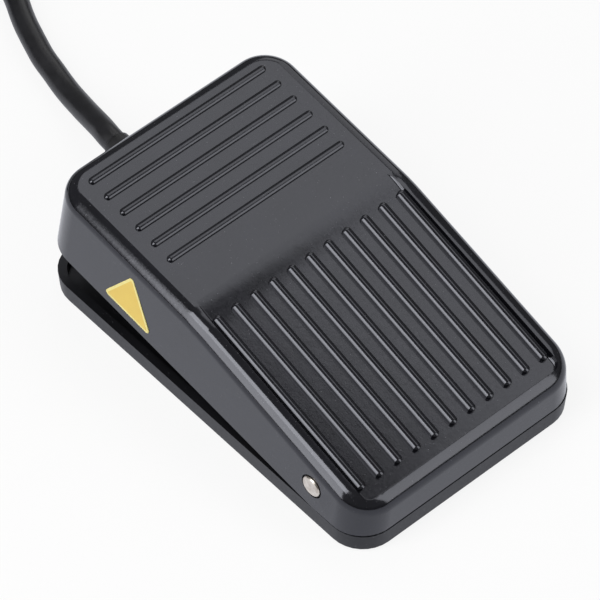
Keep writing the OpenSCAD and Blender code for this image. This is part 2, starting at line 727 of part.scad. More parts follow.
module terminal_common() {
    // tab, and inside the ledge that the contact arm rocks on
    color("#c9a14a") {
        tab_plate(-sw_l / 2 - tab_out, arm_x + 1, common_z);
        translate([arm_x - arm_pin_r - 0.75, sw_y - tab_w / 2, common_z])
            cube([0.5, tab_w, tab_t + 1.1]);
    }
}
module fixed_contact(z) {
    translate([contact_x, sw_y, z]) cylinder(d = contact_d, h = contact_h + eps);
}
module terminal_closed() {
    color("#c9a14a") {
        tab_plate(contact_x - 2, sw_l / 2 + tab_out, closed_z);
        fixed_contact(closed_z - contact_h);
    }
}
module terminal_open() {
    color("#c9a14a") {
        tab_plate(contact_x - 2, sw_l / 2 + tab_out, open_z);
        fixed_contact(open_z + tab_t - eps);
    }
}
module contact_arm() {
    // drawn at rest: its contact is up against the closed terminal
    arm_w = 4;
    color("#d29a56") translate([arm_x, sw_y, arm_z]) rotate([0, -arm_swing, 0]) {
        along_y(-arm_w / 2, arm_w / 2, 2 * arm_pin_r);
        translate([0, -arm_w / 2, -arm_t / 2]) cube([arm_reach + 1.6, arm_w, arm_t]);
        translate([arm_reach, 0, -arm_contact_h / 2]) cylinder(d = contact_d - 0.2, h = arm_contact_h);
    }
}
module snap_spring() {
    // bowed strip between the plunger and the common terminal
    half = 3;
    strip = 0.25;
    low = common_z + tab_t + snug;
    top = stem_low - snug;
    bow = top - low;
    r = (bow * bow + half * half) / (2 * bow);
    color("#d8b26a") translate([plunger_x, sw_y + 1.5, top]) rotate([90, 0, 0])
        linear_extrude(3) intersection() {
            translate([0, -r]) difference() {
                circle(r);
                circle(r - strip);
            }
            translate([-2 * half, -bow]) square([4 * half, bow + 1]);
        }
}
module terminal_sleeves() {
    // insulating sleeves pushed over the tabs, each with its core's hole
    sleeve_l = tab_out + 1.8;
    color("#d8d4c8") for (t = [[-1, common_z], [1, closed_z], [1, open_z]])
        translate([t[0] * (sw_l / 2 + 0.3), sw_y, t[1] + tab_t / 2])
            rotate([0, 0, t[0] > 0 ? 0 : 180]) difference() {
                translate([0, -tab_w / 2 - 0.8, -1.6]) cube([sleeve_l, tab_w + 1.6, 3.2]);
                translate([-1, -tab_w / 2 - snug, -tab_t / 2 - snug])
                    cube([tab_out + 1, tab_w + 2 * snug, tab_t + 2 * snug]);
                along_x(tab_out - 0.5, sleeve_l + 1, core_d + 0.2);
            }
}

// ---- cores inside the housing ----
core_ring = 1.25;                 // the cores' centres, off the cable's middle
jacket_end = [for (a = [180, 60, -60])
    [core_ring * cos(a), cable_start - seat, cable_h + core_ring * sin(a)]];
// from the jacket's end to the side of the switch, then back into the sleeve
function core_path(side, start, tab_z) =
    let (z = tab_z + tab_t / 2, end_x = sw_l / 2 + 0.3 + tab_out)
    [start, start - [0, 1, 0],
        [side * 2.2, cable_start - 2.5, start[2] + (z - start[2]) * 0.08],
        [side * 5, cable_start - 5, start[2] + (z - start[2]) * 0.25],
        [side * 9.5, sw_rear + 4.9, start[2] + (z - start[2]) * 0.45],
        [side * 14.5, sw_rear + 4.8, start[2] + (z - start[2]) * 0.7],
        [side * 19.5, sw_rear + 3.2, start[2] + (z - start[2]) * 0.9],
        [side * 23.6, sw_y + 5.6, z],
        [side * 25.6, sw_y + 3.4, z],
        [side * 25.3, sw_y + 1.2, z],
        [side * 23.9, sw_y + 0.1, z],
        [side * (end_x + 1.4), sw_y, z],
        [side * (end_x + 0.1), sw_y, z]];
module core_common() {
    color("#6b4a2c") tube(core_path(-1, jacket_end[0], common_z), core_d, 8);
}
module core_closed() {
    color("#3f6ea8") tube(core_path(1, jacket_end[1], closed_z), core_d, 8);
}
module core_open() {
    color("#1c1c1e") tube(core_path(1, jacket_end[2], open_z), core_d, 8);
}

// ---- cable clamp, strain relief and cable ----
module cable_clamp() {
    wing_z = cable_h - 0.6 + seat;
    color("#35363b") difference() {
        translate([0, clamp_y + clamp_w / 2, 0]) rotate([90, 0, 0]) linear_extrude(clamp_w)
            difference() {
                union() {
                    translate([-clamp_screw_x - 3.4, wing_z]) square([2 * clamp_screw_x + 6.8, 2.2]);
                    intersection() {
                        translate([0, cable_h]) circle(cable_d / 2 + 2);
                        translate([-10, wing_z]) square([20, 10]);
                    }
                }
                translate([0, cable_h]) circle(cable_d / 2 + snug);
            }
        for (x = [-clamp_screw_x, clamp_screw_x])
            translate([x, clamp_y, 0]) cylinder(d = 3.2, h = 20);
    }
}
module clamp_screws() {
    top = cable_h - 0.6 + 2.2 + 2 * seat;
    color("#9fa1a3") for (x = [-clamp_screw_x, clamp_screw_x])
        translate([x, clamp_y, base_z + 1.2]) head_screw(2.5 - 2 * seat, top - base_z - 1.2, 5, 1.7);
}
module relief_tilted() {
    translate([0, gland_rear, cable_h]) rotate([0, 0, -relief_turn]) children();
}
relief_tip = [relief_tail * sin(relief_turn), gland_rear + relief_tail * cos(relief_turn), cable_h];
module strain_relief() {
    grooves = 4;
    first = 2.6;
    groove = 1.2;
    groove_in = 0.5;
    step = (relief_tail - first - 4.5) / grooves;
    // radius of the tail at a distance along it
    function tail_at(s) = relief_d / 2 - (relief_d - relief_tip_d) / 2 * s / relief_tail;
    color("#1d1d20") difference() {
        union() {
            translate([0, 0, cable_h]) {
                along_y(gland_front - relief_flange, gland_front - seat, relief_d);
                along_y(gland_front - 2 * seat, gland_rear + 0.8, neck_d);
            }
            relief_tilted() rotate([-90, 0, 0]) rotate_extrude() polygon(concat(
                [[0, 0.4], [relief_d / 2, 0.4], [relief_d / 2, first]],
                [for (i = [0 : grooves - 1], c = [[0, 0], [0, 1], [1, 1], [1, 0]])
                    let (s = first + i * step + c[0] * groove)
                        [tail_at(s) - groove_in * c[1], s]],
                [[tail_at(relief_tail), relief_tail - 0.3],
                    [tail_at(relief_tail) - 0.3, relief_tail], [0, relief_tail]]));
        }
        tube(inner_route(1), cable_d + 2 * snug, 10);
    }
}
// the cable's line from the stripped end through clamp, gland and relief
function inner_route(over) = [[0, cable_start - over, cable_h], [0, gland_rear - 0.5, cable_h],
    [0, gland_rear, cable_h] + [sin(relief_turn), cos(relief_turn), 0],
    relief_tip + over * [sin(relief_turn), cos(relief_turn), 0]];
module cable_inner() {
    color("#1f1f22") tube(inner_route(0), cable_d, 10);
}
module cable() {
    color("#1f1f22") tube(concat([relief_tip + [0, seat, 0]],
        [for (p = cable_route) p + [0, rear_y, 0]]), cable_d, 10);
}
module coil_section() {
    r = cable_d / 2;
    translate([coil_in + r, 0]) square([coil_out - coil_in - 2 * r, coil_layers * cable_d]);
    translate([coil_in, r]) square([coil_out - coil_in, coil_layers * cable_d - 2 * r]);
    for (x = [coil_in + r, coil_out - r], z = [r, coil_layers * cable_d - r])
        translate([x, z]) circle(r);
}
module cable_coil() {
    color("#1f1f22") translate([coil_at[0], coil_at[1], 0]) rotate_extrude() coil_section();
}
module cable_tail() {
    // the top outer turn works its way outwards, over the cable that comes in,
    // then down to the floor and round the coil's outside
    from = -180;
    steps = 30;
    outwards = [-184, -16];
    drop = [-28, 20];
    sag = [-155, -40, 2];             // between two places, and its depth
    r0 = coil_out - cable_d / 2;
    color("#1f1f22") tube([for (i = [0 : steps])
        let (a = from + (tail_jacket_end - from) * i / steps,
            low = sag[2] * (eased(a, sag[0], -95) - eased(a, -95, sag[1])))
            round_coil(r0 + cable_d * swung(a, outwards[0], outwards[1])
                + (tail_r - r0 - cable_d) * eased(a, drop[0], drop[1]), a,
                cable_d * (1.5 - eased(a, drop[0], drop[1])) - low)],
        cable_d, 10);
}
module coil_tie() {
    // a strap drawn tight round the bundle, with its head on the outside
    strap_t = 0.8;
    bite = 0.3;
    w = 6;
    high = coil_layers * cable_d;
    color("#141416") translate([coil_at[0], coil_at[1], 0]) rotate([0, 0, 170])
        translate([0, w / 2, 0]) rotate([90, 0, 0]) linear_extrude(w) difference() {
            union() {
                translate([coil_in + bite - strap_t, 0])
                    square([coil_out - coil_in - 2 * bite + 2 * strap_t, high - bite + strap_t]);
                translate([coil_out - bite, 2.6]) square([strap_t + 3, 4.8]);
            }
            translate([coil_in + bite, strap_t])
                square([coil_out - coil_in - 2 * bite, high - bite - strap_t]);
        }
}
// three cores that fan out from the jacket's end and lie on the floor
function fan(k, a) =
    let (s = eased(a, tail_jacket_end, tail_jacket_end + 24),
        out = (k - 1) * (1.25 + 1.2 * s),
        rise = k == 1 ? 1.3 : -0.8)
    round_coil(tail_r + out, a, cable_d / 2 + rise + (core_d / 2 - cable_d / 2 - rise) * s);
module tail_cores() {
    for (k = [0 : 2]) color(["#6b4a2c", "#3f6ea8", "#1c1c1e"][k])
        tube([for (i = [0 : 8])
            fan(k, tail_jacket_end - 1 + (tail_strip_end + 1 - tail_jacket_end) * i / 8)],
            core_d, 8);
}
module tinned_ends() {
    color("#c8c8c4") for (k = [0 : 2])
        tube([for (i = [0 : 2])
            fan(k, tail_strip_end - 0.5 + (tail_tin_end + 0.5 - tail_strip_end) * i / 2)],
            core_d * 0.58, 8);
}

base_tray();
rubber_feet();
pedal_cover();
side_sticker();
hinge_pin();
pin_rings();
return_spring();
switch_bracket();
bracket_screws();
switch_case();
switch_lid();
switch_screws();
switch_nuts();
switch_plunger();
switch_lever();
lever_pin();
terminal_common();
terminal_closed();
terminal_open();
contact_arm();
snap_spring();
terminal_sleeves();
core_common();
core_closed();
core_open();
cable_clamp();
clamp_screws();
strain_relief();
cable_inner();
cable();
cable_coil();
cable_tail();
coil_tie();
tail_cores();
tinned_ends();
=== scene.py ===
import json
import math

import bmesh
import bpy
from mathutils import Matrix, Vector


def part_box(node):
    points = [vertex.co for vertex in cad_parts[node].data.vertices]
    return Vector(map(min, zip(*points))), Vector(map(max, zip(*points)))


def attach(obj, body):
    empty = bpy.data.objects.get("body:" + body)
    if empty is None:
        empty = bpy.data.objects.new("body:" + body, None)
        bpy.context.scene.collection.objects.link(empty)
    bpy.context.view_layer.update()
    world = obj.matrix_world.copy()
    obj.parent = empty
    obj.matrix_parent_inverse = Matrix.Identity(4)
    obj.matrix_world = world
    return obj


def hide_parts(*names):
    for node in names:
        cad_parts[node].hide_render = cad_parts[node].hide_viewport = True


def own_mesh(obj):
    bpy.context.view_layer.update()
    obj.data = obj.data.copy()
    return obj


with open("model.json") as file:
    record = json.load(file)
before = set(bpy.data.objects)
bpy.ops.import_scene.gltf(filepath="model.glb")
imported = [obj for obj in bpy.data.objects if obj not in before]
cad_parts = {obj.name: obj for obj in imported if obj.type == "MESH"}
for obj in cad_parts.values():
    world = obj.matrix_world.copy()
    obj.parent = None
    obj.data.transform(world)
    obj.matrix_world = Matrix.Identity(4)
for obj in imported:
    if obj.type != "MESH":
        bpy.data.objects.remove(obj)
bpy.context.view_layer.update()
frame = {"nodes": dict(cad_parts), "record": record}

MM = 0.001
PI = math.pi


# ---------------------------------------------------------------- camera
# A long lens, well back from the switch, looking down on its left front corner.
def place_camera(target, azimuth, elevation, roll, distance, lens):
    a, e = math.radians(azimuth), math.radians(elevation)
    away = Vector((math.sin(a) * math.cos(e), -math.cos(a) * math.cos(e), math.sin(e)))
    data = bpy.data.cameras.new("long_lens")
    data.lens = lens
    data.sensor_width = 36
    data.clip_end = 20
    camera = bpy.data.objects.new("camera", data)
    bpy.context.scene.collection.objects.link(camera)
    turn = (Matrix.Rotation(a, 4, "Z") @ Matrix.Rotation(PI / 2 - e, 4, "X")
            @ Matrix.Rotation(math.radians(roll), 4, "Z"))
    camera.matrix_world = Matrix.Translation(Vector(target) + away * distance) @ turn
    bpy.context.scene.camera = camera


place_camera(target=(-2.481 * MM, 0.443 * MM, 15.6 * MM), azimuth=-41.62, elevation=50.775,
             roll=0.08, distance=1.12374, lens=324.22)


# ---------------------------------------------------------------- hand tools
def rest_hands():
    """Leaves edit mode and deselects everything."""
    if bpy.context.mode != "OBJECT":
        bpy.ops.object.mode_set(mode="OBJECT")
    bpy.ops.object.select_all(action="DESELECT")


def take(piece):
    """Makes the piece the only one selected."""
    rest_hands()
    piece.select_set(True)
    bpy.context.view_layer.objects.active = piece


def open_up(piece):
    """Opens a finished piece for editing."""
    take(piece)
    bpy.ops.object.mode_set(mode="EDIT")


def begin(name):
    """Names the primitive just added, fixes its size and opens it for editing."""
    piece = bpy.context.active_object
    piece.name = piece.data.name = name
    bpy.ops.object.transform_apply(location=True, rotation=True, scale=True)
    bpy.ops.object.mode_set(mode="EDIT")
    return piece


def pick(kind, test):
    """Selects the open mesh's vertices, edges or faces that pass the test."""
    bpy.ops.mesh.select_mode(type=kind)
    bpy.ops.mesh.select_all(action="DESELECT")
    mesh = bmesh.from_edit_mesh(bpy.context.edit_object.data)
    parts = {"VERT": mesh.verts, "EDGE": mesh.edges, "FACE": mesh.faces}[kind]
    parts.ensure_lookup_table()
    mesh.normal_update()
    for part in parts:
        if test(part):
            part.select_set(True)
    mesh.select_flush_mode()
    bmesh.update_edit_mesh(bpy.context.edit_object.data)


def middle(part):
    return sum((v.co for v in part.verts), Vector()) / len(part.verts)


def shift(x=0.0, y=0.0, z=0.0):
    bpy.ops.transform.translate(value=(x, y, z))


def cut_across(point, normal, **keep):
    """Cuts the whole open mesh by a plane."""
    bpy.ops.mesh.select_all(action="SELECT")
    bpy.ops.mesh.bisect(plane_co=point, plane_no=normal, **keep)


def apply_all(piece):
    take(piece)
    for modifier in list(piece.modifiers):
        bpy.ops.object.modifier_apply(modifier=modifier.name)


def carve(piece, cutter):
    """Takes the cutter's shape out of the piece, and throws the cutter away."""
    rest_hands()
    tool = piece.modifiers.new("carve", "BOOLEAN")
    tool.operation = "DIFFERENCE"
    tool.solver = "EXACT"
    tool.object = cutter
    apply_all(piece)
    bpy.data.objects.remove(cutter)


def smooth_flats(piece, angle=32):
    """Smooth shading on the round parts, and flat parts kept flat."""
    take(piece)
    bpy.ops.object.shade_smooth_by_angle(angle=math.radians(angle))
    even = piece.modifiers.new("even", "WEIGHTED_NORMAL")
    even.keep_sharp = True
    even.weight = 80
    apply_all(piece)


def join(pieces, name):
    rest_hands()
    for piece in pieces:
        piece.select_set(True)
    bpy.context.view_layer.objects.active = pieces[0]
    bpy.ops.object.join()
    pieces[0].name = pieces[0].data.name = name
    return pieces[0]


def copy_of(piece, move=(0, 0, 0)):
    twin = piece.copy()
    twin.data = piece.data.copy()
    bpy.context.scene.collection.objects.link(twin)
    twin.data.transform(Matrix.Translation(Vector(move)))
    return twin


def turn_about(piece, point, axis, degrees):
    """Turns the finished mesh about a line through a point."""
    here = Matrix.Translation(Vector(point))
    piece.data.transform(here @ Matrix.Rotation(math.radians(degrees), 4, axis) @ here.inverted())
    piece.data.update()


# ---------------------------------------------------------------- places from the frame
pin_low, pin_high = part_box("hinge_pin")
PIN = (pin_low + pin_high) / 2                  # the line that the cover rocks on
tray_low, tray_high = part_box("base_tray")
LIFT = 6.6                                      # degrees the cover stands open at rest


# ---------------------------------------------------------------- the mains cord
# Its route in metres: out of the gland, through the strain relief, down to the floor, then
# round the coil that the spare length is wound into, and off it to the bare end.
CORD_D = 0.0055
GLAND = Vector((0, 0.047, 0.0072))
RELIEF_TURN = 4.3                                # degrees the tail is pulled to the side
RELIEF_TAIL = 0.0174
RELIEF_WAY = Vector((math.sin(math.radians(RELIEF_TURN)), math.cos(math.radians(RELIEF_TURN)), 0))
RELIEF_TIP = GLAND + RELIEF_WAY * RELIEF_TAIL
FREE_ROUTE = [
    (0.00145, 0.0664, 0.0072), (0.0018, 0.0682, 0.00695), (0.0024, 0.0705, 0.0063),
    (0.0031, 0.0739, 0.0054), (0.0038, 0.0773, 0.0045), (0.0045, 0.0807, 0.00375),
    (0.0051, 0.0838, 0.0032), (0.0057, 0.0868, 0.0029), (0.0063, 0.0896, 0.0028),
    (0.0069, 0.0922, 0.00275), (0.0074, 0.0948, 0.00275), (0.0080, 0.0974, 0.00275),
    (0.0088, 0.0999, 0.00275), (0.0099, 0.1032, 0.00275), (0.0111, 0.1066, 0.00275),
    (0.0124, 0.1097, 0.00275), (0.0144, 0.114, 0.00275), (0.0170, 0.1205, 0.00275),
    (0.0196, 0.128, 0.00275), (0.0218, 0.1365, 0.00275), (0.0233, 0.145, 0.00275),
    (0.0241, 0.154, 0.00275), (0.02425, 0.161, 0.00275)]
COIL_AT = Vector((-0.016, 0.166, 0))
COIL_ROWS = [0.04025, 0.03475, 0.02925, 0.02375, 0.02375, 0.02925, 0.03475, 0.04025, 0.04575]
TURNS = len(COIL_ROWS) - 1
LOWER_TURNS = 4                                  # the rest lie on top of them
TAIL_R = 0.04635
TAIL_JACKET_END = 78                             # degrees round the coil
TAIL_STRIP_END = 116
TAIL_TIN_END = 124
CORE_D = 0.0019


def eased(value, start, end):
    f = max(0.0, min(1.0, (value - start) / (end - start)))
    return f * f * (3 - 2 * f)


def round_coil(radius, degrees, z):
    a = math.radians(degrees)
    return COIL_AT + Vector((radius * math.cos(a), radius * math.sin(a), z))


def swung(value, start, end):
    return (1 - math.cos(PI * max(0.0, min(1.0, (value - start) / (end - start))))) / 2


def wound(turned):
    """The cord's middle after it has turned that many degrees round the coil."""
    last = TURNS - 1
    row = min(int(turned // 360), last)
    angle = turned - 360 * row
    step = swung(angle, 176, 344)                # every turn moves over in the same stretch
    radius = COIL_ROWS[row] + (COIL_ROWS[row + 1] - COIL_ROWS[row]) * step
    height = CORD_D * (0.5 if row < LOWER_TURNS else 1.5)
    if row == LOWER_TURNS - 1:
        # the turn that climbs to the upper layer leans on the turn outside it, which moves in
        # under it, and on the one above, which moves out
        lean = CORD_D * (step - 0.5)
        half = math.hypot(lean, CORD_D / 2)
        reach = math.sqrt(CORD_D ** 2 - half ** 2) / (2 * half)
        radius = COIL_ROWS[row] + CORD_D / 2 - CORD_D * reach
        height = CORD_D + 2 * lean * reach
    if row == last:
        # the last turn sags a little, passes over the cord that comes in, and drops to the floor
        radius += (TAIL_R - COIL_ROWS[-1]) * eased(angle, 330, 380)
        height -= CORD_D * eased(angle, 332, 380)
        height -= 0.002 * (eased(angle, 225, 270) - eased(angle, 270, 322))
    return round_coil(radius, angle, height)


def through(points, step):
    """Points a step apart on a smooth line through the given ones."""
    line = []
    ends = [2 * points[0] - points[1]] + points + [2 * points[-1] - points[-2]]
    for a, b, c, d in zip(ends, ends[1:], ends[2:], ends[3:]):
        pieces = max(1, round((c - b).length / step))
        for i in range(pieces):
            t = i / pieces
            line.append(0.5 * (2 * b + (c - a) * t + (2 * a - 5 * b + 4 * c - d) * t * t
                               + (3 * b - a - 3 * c + d) * t ** 3))
    return line + [points[-1]]


def soft_wire(name, points, diameter, resolution=6):
    """A round wire along the points."""
    data = bpy.data.curves.new(name, "CURVE")
    data.dimensions = "3D"
    data.bevel_depth = diameter / 2
    data.bevel_resolution = resolution
    data.use_fill_caps = True
    data.twist_mode = "MINIMUM"
    line = data.splines.new("POLY")
    line.points.add(len(points) - 1)
    for spot, place in zip(line.points, points):
        spot.co = (*place, 1)
    line.use_smooth = True
    wire = bpy.data.objects.new(name, data)
    bpy.context.scene.collection.objects.link(wire)
    return wire


coil_end = TURNS * 360 + TAIL_JACKET_END
cord_line = [GLAND, GLAND + RELIEF_WAY * 0.004, GLAND + RELIEF_WAY * 0.011, RELIEF_TIP]
cord_line = through(cord_line + [Vector(p) for p in FREE_ROUTE], 0.0012)
cord_line += [wound(a) for a in range(0, coil_end + 1, 6)]
cord = soft_wire("mains_cord", cord_line, CORD_D, 7)


def fan(core, degrees):
    """The middle of one of the three cores that spread from the jacket's end."""
    spread = eased(degrees, TAIL_JACKET_END, TAIL_JACKET_END + 24)
    rise = 0.0013 if core == 1 else -0.0008
    return round_coil(TAIL_R + (core - 1) * (0.00125 + 0.0012 * spread), degrees,
                      CORD_D / 2 + rise + (CORE_D / 2 - CORD_D / 2 - rise) * spread)


def core_piece(name, core, start, end, diameter):
    return soft_wire(name, [fan(core, start + (end - start) * i / 20) for i in range(21)],
                     diameter, 4)


tail_cores = [core_piece(f"tail_core_{name}", core, TAIL_JACKET_END - 1, TAIL_STRIP_END, CORE_D)
              for core, name in enumerate(["brown", "blue", "black"])]
tinned_ends = [core_piece(f"tinned_end_{core + 1}", core, TAIL_STRIP_END - 0.5, TAIL_TIN_END,
                          CORE_D * 0.58) for core in range(3)]

# ---------------------------------------------------------------- pedal cover
# Sizes of the moulding in millimetres, as it lies when pressed flat.
HALF = 31.1                                      # half the width at the seam
REAR = 49.8
FRONT = -50.6
SEAM = 5.2                                       # height of the lower edge
DECK = 24.7                                      # height of the level deck
BEND = 3.5                                       # where the deck turns down into the rim
RIM_FALL = 9.41                                  # degrees
TREAD_FALL = 9.91                                # degrees
SINK = 0.95                                      # depth of the tread below the rim
ROLL = 3.0                                       # radius of the rolled edge
DRAFT = 0.7                                      # inward lean of a wall, foot to top
TREAD_HALF = 26.6
TREAD_FRONT = -47.2
RAMP_TOP = 7.0
SHOULDER = 9.0                                   # degrees
SHOULDER_X = 27.2                                # where the rim begins to fall away
COVE = 0.3                                       # outward run of the pan's walls per unit of height
TOP_WALL = 1.8
SIDE_WALL = 2.0
BOSS_R = 3.9                                     # bosses for the pin, inside the walls
BOSS_IN = 26.9
PIN_BORE_R = 2.55
PIN_RECESS_R = 2.85
RECESS = 0.9                                     # depth of the recess in a wall's outside
PIN_END = 31.2                                   # the pin's ends stand just proud of the walls
LONG_RIBS = 11
LONG_PITCH = 5.06
DECK_BARS = 6
BAR_PITCH = 5.0
BAR_LENGTH = 46.8


def tan(degrees):
    return math.tan(math.radians(degrees))


def rim_at(y):
    return DECK - max(0.0, BEND - y) * tan(RIM_FALL)


def tread_at(y):
    return DECK - SINK - (BEND - y) * tan(TREAD_FALL)


def ceiling_at(y):
    front_y = FRONT + SIDE_WALL
    fall = (DECK - TOP_WALL - (tread_at(front_y) - TOP_WALL)) / (RAMP_TOP - front_y)
    return DECK - TOP_WALL - max(0.0, RAMP_TOP - y) * fall


def moulded_block(name, half, front, rear, low, top_at, bends, lean, corner, roll, soft):
    """A block with drafted walls, round corners and a rolled top edge, folded at the bends."""
    rest_hands()
    bpy.ops.mesh.primitive_cube_add(
        size=1, location=(0, (front + rear) / 2 * MM, (low + DECK) / 2 * MM),
        scale=(2 * half * MM, (rear - front) * MM, (DECK - low) * MM))
    block = begin(name)
    high = DECK * MM - 1e-5
    for y in bends:
        cut_across((0, y * MM, 0), (0, 1, 0))
    for y in [front, rear] + bends:
        pick("VERT", lambda v: v.co.z > high and abs(v.co.y - y * MM) < 1e-5)
        shift(z=(top_at(y) - DECK) * MM)
    # the walls lean in towards the top
    for side in (-1, 1):
        pick("VERT", lambda v: v.co.z > low * MM + 1e-4 and v.co.x * side > 0)
        shift(x=-side * lean * MM)
    for y, way in ((front, 1), (rear, -1)):
        pick("VERT", lambda v: v.co.z > low * MM + 1e-4 and abs(v.co.y - y * MM) < 1e-5)
        shift(y=way * lean * MM)
    pick("EDGE", lambda e: abs(e.verts[0].co.z - e.verts[1].co.z) > 4 * MM
         and min(abs(middle(e).y - front * MM), abs(middle(e).y - rear * MM)) < 1 * MM)
    bpy.ops.mesh.bevel(offset=corner * MM, segments=14, affect="EDGES")
    for y in bends:
        pick("EDGE", lambda e: abs(middle(e).y - y * MM) < 1e-5 and middle(e).z > high * 0.6
             and abs(middle(e).x) < 1e-5)
        bpy.ops.mesh.bevel(offset=soft * MM, segments=5, affect="EDGES")
    pick("EDGE", lambda e: len(e.link_faces) == 2 and e.calc_face_angle(0) > 1.0
         and max(f.normal.z for f in e.link_faces) > 0.9)
    bpy.ops.mesh.bevel(offset=roll * MM, segments=10, affect="EDGES", clamp_overlap=False)
    rest_hands()
    return block


cover = moulded_block("pedal_cover_shell", HALF, FRONT, REAR, SEAM, rim_at, [BEND], DRAFT,
                      8, ROLL, 4)
# the rim falls away from the tread's sides before it rolls over
open_up(cover)
for side in (-1, 1):
    for fall in (0, RIM_FALL):
        normal = (side * math.sin(math.radians(SHOULDER)), -math.sin(math.radians(fall)),
                  math.cos(math.radians(fall)))
        cut_across((side * SHOULDER_X * MM, BEND * MM, DECK * MM), normal,
                   use_fill=True, clear_outer=True, threshold=1e-6)
rest_hands()

# the sunk tread: a shallow pan with sloping sides that runs up to the deck in a soft ramp
RAMP = [(TREAD_FRONT, tread_at(TREAD_FRONT)), (-1.2, tread_at(-1.2)), (0.6, 23.27), (2.0, 23.56),
        (3.4, 23.92), (4.8, 24.28), (6.2, 24.55), (7.6, 24.72), (9.4, 24.86)]
RISE = 3.0
rest_hands()
bpy.ops.mesh.primitive_cube_add(
    size=1, location=(0, (RAMP[0][0] + RAMP[-1][0]) / 2 * MM, RISE / 2 * MM),
    scale=(2 * TREAD_HALF * MM, (RAMP[-1][0] - RAMP[0][0]) * MM, RISE * MM))
pan = begin("tread_pan")
for y, _ in RAMP[1:-1]:
    cut_across((0, y * MM, 0), (0, 1, 0))
for y, z in RAMP:
    pick("VERT", lambda v: abs(v.co.y - y * MM) < 1e-5)
    shift(z=z * MM)
for side in (-1, 1):
    pick("VERT", lambda v: v.co.x * side > 0
         and v.co.z > MM * (0.5 * RISE + min(RAMP, key=lambda p: abs(p[0] * MM - v.co.y))[1]))
    shift(x=side * COVE * RISE * MM)
# its front is a steep step, with only the moulding's draft
pick("VERT", lambda v: abs(v.co.y - TREAD_FRONT * MM) < 1e-5
     and v.co.z > MM * (tread_at(TREAD_FRONT) + 1))
shift(y=-0.2 * MM)
pick("EDGE", lambda e: abs(middle(e).y - (TREAD_FRONT - 0.1) * MM) < 0.05 * MM
     and abs(middle(e).x) > TREAD_HALF * MM)
bpy.ops.mesh.bevel(offset=2 * MM, segments=6, affect="EDGES")
pick("EDGE", lambda e: len(e.link_faces) == 2 and e.calc_face_angle(0) > 0.3
     and min(f.normal.z for f in e.link_faces) < -0.9)
bpy.ops.mesh.bevel(offset=0.5 * MM, segments=3, affect="EDGES")
rest_hands()
carve(cover, pan)
open_up(cover)
bpy.ops.mesh.select_all(action="SELECT")
bpy.ops.mesh.remove_doubles(threshold=0.02 * MM)
rest_hands()

# the hollow inside
hollow = moulded_block("cover_hollow", HALF - SIDE_WALL, FRONT + SIDE_WALL, REAR - SIDE_WALL,
                       SEAM - 3, ceiling_at, [RAMP_TOP], DRAFT, 6, 1.5, 3)
rest_hands()
bpy.ops.mesh.primitive_cylinder_add(vertices=48, radius=BOSS_R * MM, depth=2 * (HALF - 1) * MM,
                                    location=PIN, rotation=(0, PI / 2, 0))
bosses = begin("pin_bosses")
rest_hands()
bpy.ops.mesh.primitive_cube_add(size=1, location=PIN,
                                scale=(2 * BOSS_IN * MM, 12 * MM, 12 * MM))
gap = begin("boss_gap")
rest_hands()
carve(bosses, gap)
carve(hollow, bosses)
carve(cover, hollow)


def drill(piece, radius, x0, x1):
    """A round hole along the hinge line."""
    rest_hands()
    bpy.ops.mesh.primitive_cylinder_add(
        vertices=48, radius=radius * MM, depth=(x1 - x0) * MM,
        location=((x0 + x1) / 2 * MM, PIN.y, PIN.z), rotation=(0, PI / 2, 0))
    drill_bit = begin("drill")
    rest_hands()
    carve(piece, drill_bit)


drill(cover, PIN_BORE_R, -40, 40)
drill(cover, PIN_RECESS_R, HALF - RECESS, HALF + 3)
drill(cover, PIN_RECESS_R, -HALF - 3, -HALF + RECESS)

# the arch over the strain relief
ARCH = 5.1
CABLE_H = 7.2
rest_hands()
bpy.ops.mesh.primitive_cylinder_add(vertices=48, radius=ARCH * MM, depth=8 * MM,
                                    location=(0, REAR * MM, CABLE_H * MM), rotation=(PI / 2, 0, 0))
arch = begin("arch")
rest_hands()
carve(cover, arch)
rest_hands()
bpy.ops.mesh.primitive_cube_add(size=1, location=(0, REAR * MM, CABLE_H / 2 * MM),
                                scale=(2 * ARCH * MM, 8 * MM, CABLE_H * MM))
arch = begin("arch_foot")
rest_hands()
carve(cover, arch)


def grip_rib(name, length, foot, height, way="Y"):
    """A rib with steep flanks, a crowned top and round ends, from end centre to end centre."""
    rest_hands()
    half, sunk = foot / 2, 0.15
    crown = 1.45 * half
    rings = [(f * half, height - crown + math.sqrt(crown ** 2 - (f * half) ** 2))
             for f in (0.86, 0.74, 0.6, 0.46, 0.32, 0.18, 0.06)]
    wide, level = 0.93 * half, rings[0][1] - 0.07
    bpy.ops.mesh.primitive_cylinder_add(
        vertices=24, radius=half * MM, depth=(level + sunk) * MM,
        location=(0, 0, (level - sunk) / 2 * MM), rotation=(0, 0, PI / 24))
    rib = begin(name)
    pick("VERT", lambda v: v.co.y > 0)
    shift(y=length * MM)
    for end_y in (0, length * MM):
        pick("VERT", lambda v: v.co.z > 0 and abs(v.co.y - end_y) < half * 1.1 * MM)
        bpy.ops.transform.resize(value=(wide / half, wide / half, 1), center_override=(0, end_y, 0))
    pick("FACE", lambda f: f.normal.z > 0.9)
    for width, z in rings:
        bpy.ops.mesh.inset(thickness=(wide - width) * MM, depth=(z - level) * MM)
        wide, level = width, z
    rest_hands()
    if way == "X":
        turn_about(rib, (0, 0, 0), "Z", -90)
    return rib


